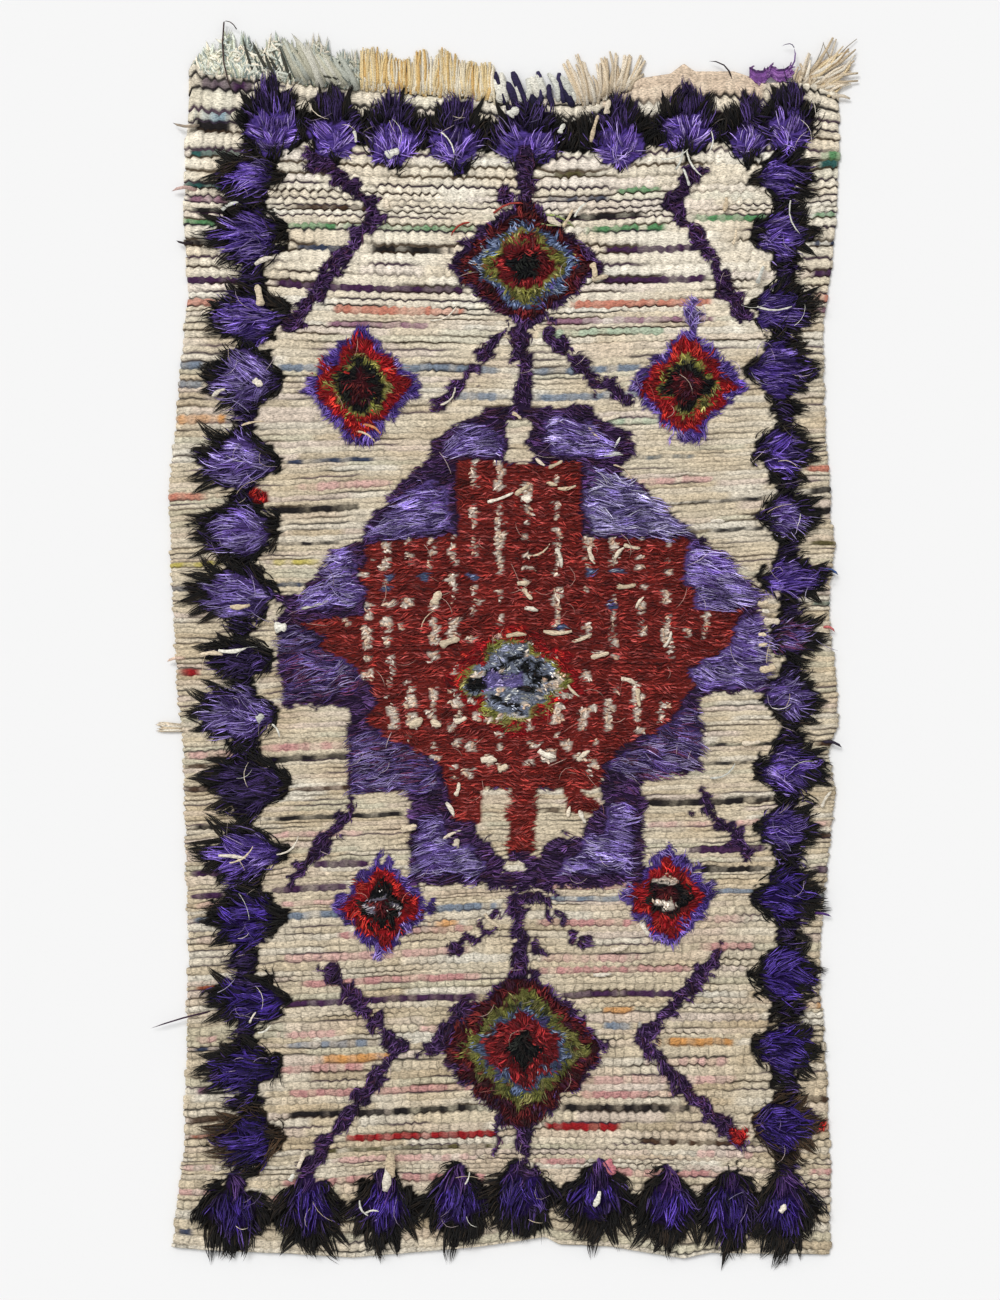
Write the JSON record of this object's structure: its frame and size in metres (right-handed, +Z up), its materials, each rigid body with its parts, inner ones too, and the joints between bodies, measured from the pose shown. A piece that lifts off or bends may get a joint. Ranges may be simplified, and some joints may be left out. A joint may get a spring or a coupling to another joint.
{
  "type": "azilal rug",
  "caption": "Long hand-knotted rug lying flat: rag-cotton ground, tufted wool lozenge border and centre medallion, patchy fringe at its head end.",
  "frame": {"origin": "the middle of the whole rug's footprint, on the floor it lies on", "axes": "+X across the rug, +Y along it towards the fringed head end, +Z up through the pile"},
  "size_m": [1.224, 2.1918, 0.024],
  "materials": {
    "cotton_rag": "soft cotton rag, matt",
    "sage_warp": "marled cotton yarn, matt",
    "ochre_warp": "cut wool yarn, matt",
    "navy_warp": "cotton strip in loops, matt",
    "cream_warp": "frayed cotton yarn, matt",
    "violet_wool": "combed wool pile, faint sheen",
    "black_wool": "combed wool pile, faint sheen",
    "maroon_wool": "worn wool pile, matt",
    "mixed_wool": "wool pile in mixed colours, matt"
  },
  "bodies": {
    "root": {"rug_field": "cotton_rag", "fringe_sage": "sage_warp", "fringe_ochre": "ochre_warp", "fringe_navy": "navy_warp", "fringe_cream": "cream_warp", "corner_tassel": "cream_warp", "violet_braid": "violet_wool", "loose_rag_end": "cotton_rag"}
  },
  "joints": []
}
